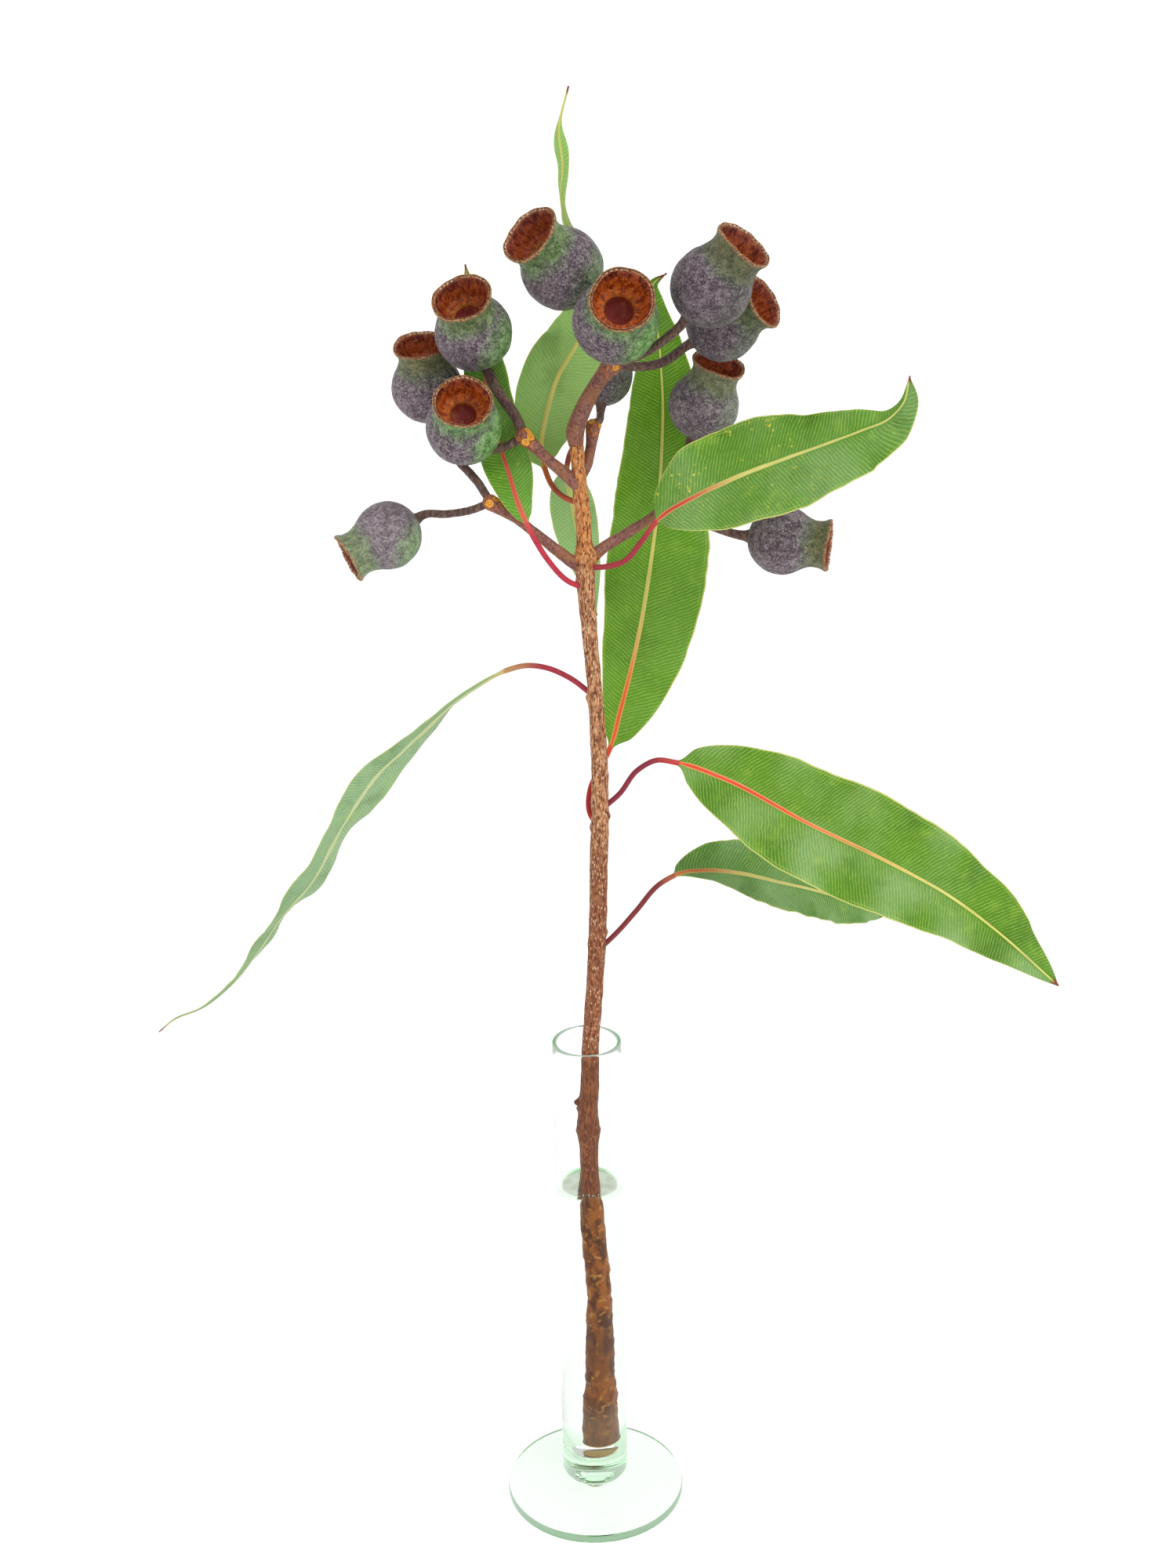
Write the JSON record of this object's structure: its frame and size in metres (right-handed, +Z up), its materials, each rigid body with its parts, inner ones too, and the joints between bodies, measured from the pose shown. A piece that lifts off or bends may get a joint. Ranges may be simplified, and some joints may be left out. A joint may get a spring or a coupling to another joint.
{
  "type": "eucalyptus gum nut sprig in a glass bud vase",
  "caption": "Cut eucalyptus sprig with urn-shaped open gum nuts and long waved leaves on a bare woody stem, standing in a slim glass tube vase of water on a flat round foot.",
  "frame": {"origin": "centre of the foot's flat underside, on the surface that the vase stands on", "axes": "+Z up along the tube, -Y towards the front, +X to the right seen from the front"},
  "size_m": [0.3473, 0.0993, 0.5682],
  "materials": {
    "glass": "clear, polished",
    "water": "clear water with a smooth surface",
    "bark": "rough, flecked bark",
    "stalk_skin": "smooth, matt",
    "nut_skin": "waxy bloom, speckled",
    "leaf_upper": "smooth, slightly glossy",
    "leaf_under": "smooth, matt"
  },
  "bodies": {
    "root": {"gumnut_01": "nut_skin", "gumnut_02": "nut_skin", "gumnut_03": "nut_skin", "gumnut_04": "nut_skin", "gumnut_05": "nut_skin", "gumnut_06": "nut_skin", "gumnut_07": "nut_skin", "gumnut_08": "nut_skin", "gumnut_09": "nut_skin", "gumnut_10": "nut_skin", "gumnut_11": "nut_skin", "leaf_01": "leaf_under", "leaf_02": "leaf_under", "leaf_03": "leaf_upper", "leaf_04": "leaf_upper", "leaf_05": "leaf_upper", "leaf_06": "leaf_upper", "leaf_07": "leaf_upper", "leaf_08": "leaf_under", "stalk_back": "stalk_skin", "stalk_left_lower": "stalk_skin", "stalk_left_upper": "stalk_skin", "stalk_right": "stalk_skin", "stalk_top": "stalk_skin", "stem": "bark", "vase_foot": "glass", "vase_tube": "glass", "water": "water"}
  },
  "joints": []
}
